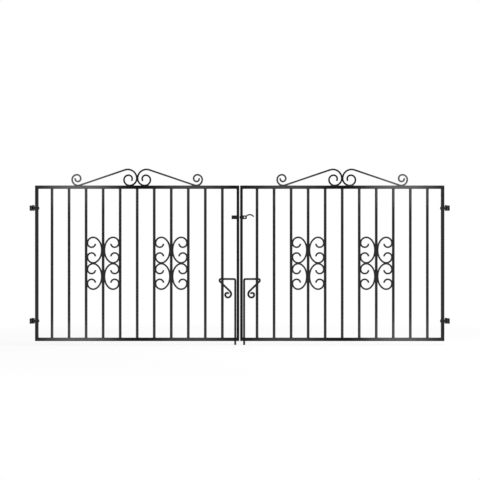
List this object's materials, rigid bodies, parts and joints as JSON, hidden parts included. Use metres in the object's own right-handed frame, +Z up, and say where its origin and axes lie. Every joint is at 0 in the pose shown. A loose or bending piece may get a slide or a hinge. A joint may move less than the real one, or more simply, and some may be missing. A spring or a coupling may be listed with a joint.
{
  "type": "wrought iron driveway gate",
  "caption": "Pair of low wrought iron driveway gates with upright bars, scroll panels and scroll crests, on pier hinges, with drop bolts and a slide latch.",
  "frame": {"origin": "middle of the back face of the left lower hinge bracket, where it meets the left pier", "axes": "+X along the closed gates to the right pier, +Y away from the street side into the drive, +Z up"},
  "size_m": [2.44, 0.076, 1.0275],
  "materials": {
    "frame_paint": "semi-gloss",
    "hardware_paint": "satin"
  },
  "bodies": {
    "hinge_brackets": {"left_hinge_pins": "hardware_paint", "left_lower_hinge_bracket": "hardware_paint", "left_upper_hinge_bracket": "hardware_paint", "right_hinge_pins": "hardware_paint", "right_lower_hinge_bracket": "hardware_paint", "right_upper_hinge_bracket": "hardware_paint"},
    "left_leaf": {"left_bottom_rail": "frame_paint", "left_hinge_eye_bolts": "hardware_paint", "left_hinge_nuts": "hardware_paint", "left_hinge_stile": "frame_paint", "left_infill_bars": "frame_paint", "left_inner_crest_scroll": "frame_paint", "left_inner_panel_lower_scrolls": "frame_paint", "left_inner_panel_upper_scrolls": "frame_paint", "left_meeting_stile": "frame_paint", "left_outer_crest_scroll": "frame_paint", "left_outer_panel_lower_scrolls": "frame_paint", "left_outer_panel_upper_scrolls": "frame_paint", "left_top_rail": "frame_paint", "latch_keeper_plate": "hardware_paint", "latch_keeper_staple": "hardware_paint"},
    "right_leaf": {"right_bottom_rail": "frame_paint", "right_hinge_eye_bolts": "hardware_paint", "right_hinge_nuts": "hardware_paint", "right_hinge_stile": "frame_paint", "right_infill_bars": "frame_paint", "right_inner_crest_scroll": "frame_paint", "right_inner_panel_lower_scrolls": "frame_paint", "right_inner_panel_upper_scrolls": "frame_paint", "right_meeting_stile": "frame_paint", "right_outer_crest_scroll": "frame_paint", "right_outer_panel_lower_scrolls": "frame_paint", "right_outer_panel_upper_scrolls": "frame_paint", "right_top_rail": "frame_paint", "latch_plate": "hardware_paint", "latch_guide_staple": "hardware_paint"},
    "left_drop_bolt": {"left_drop_bolt": "hardware_paint", "left_drop_bolt_stop_pin": "hardware_paint"},
    "right_drop_bolt": {"right_drop_bolt": "hardware_paint", "right_drop_bolt_stop_pin": "hardware_paint"},
    "latch_bar": {"latch_bar": "hardware_paint"}
  },
  "joints": [
    {"name": "left_leaf_swing", "type": "hinge", "parent": "hinge_brackets", "child": "left_leaf", "pos_m": [0.018, 0, 0], "axis": [0, 0, 1], "range_deg": [0, 90]},
    {"name": "right_leaf_swing", "type": "hinge", "parent": "hinge_brackets", "child": "right_leaf", "pos_m": [2.422, 0, 0], "axis": [0, 0, -1], "range_deg": [0, 90]},
    {"name": "left_drop_bolt_slide", "type": "slide", "parent": "left_leaf", "child": "left_drop_bolt", "axis": [0, 0, 1], "range_m": [0, 0.06]},
    {"name": "right_drop_bolt_slide", "type": "slide", "parent": "right_leaf", "child": "right_drop_bolt", "axis": [0, 0, 1], "range_m": [0, 0.06]},
    {"name": "latch_slide", "type": "slide", "parent": "right_leaf", "child": "latch_bar", "axis": [1, 0, 0], "range_m": [-0.016, 0]}
  ]
}
